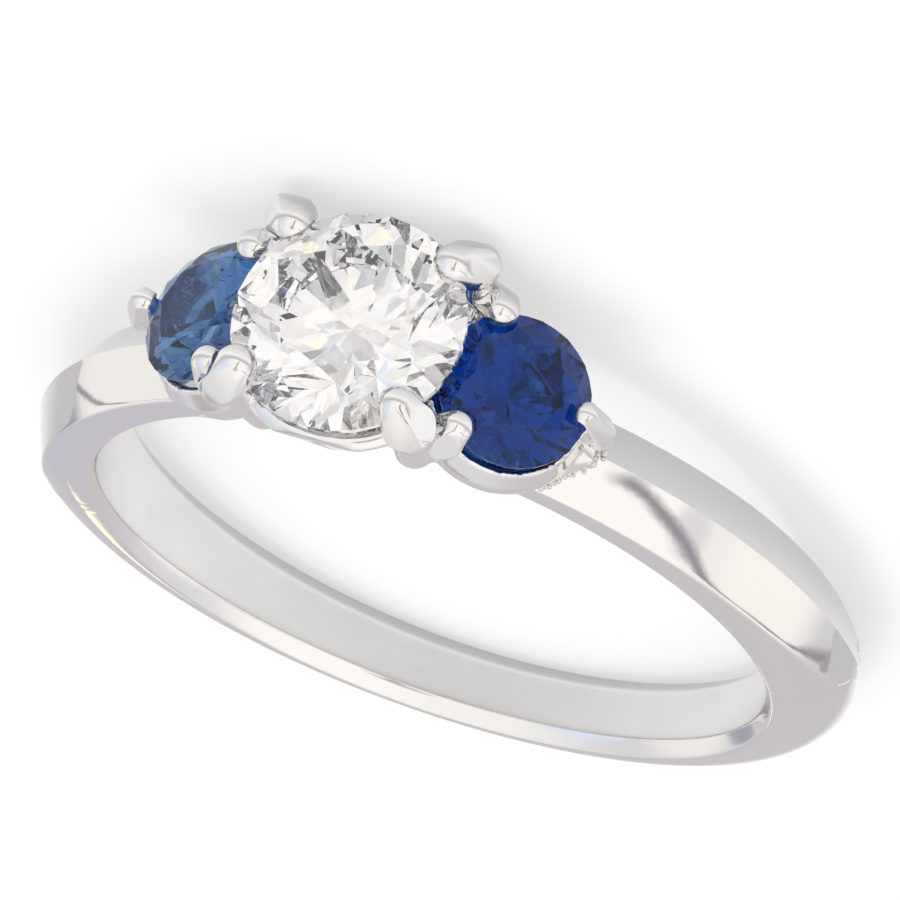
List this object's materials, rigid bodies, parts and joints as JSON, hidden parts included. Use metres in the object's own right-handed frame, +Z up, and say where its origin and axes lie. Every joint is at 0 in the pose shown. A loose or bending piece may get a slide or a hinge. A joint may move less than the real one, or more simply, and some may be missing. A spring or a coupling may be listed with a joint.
{
  "type": "three-stone ring",
  "caption": "Finger ring with a round diamond between two round sapphires in claw settings on a knife-edge shank.",
  "frame": {"origin": "centre of the finger hole, half way along it", "axes": "+Z up with the ring lying on its side and the finger hole leaning about 5 degrees from it; -Y to the stones; +X to the left sapphire"},
  "size_m": [0.0206, 0.023, 0.0055],
  "materials": {
    "platinum": "polished",
    "diamond": "polished",
    "sapphire": "polished"
  },
  "bodies": {
    "root": {"ring_mount": "platinum", "centre_diamond": "diamond", "left_sapphire": "sapphire", "right_sapphire": "sapphire"}
  },
  "joints": []
}
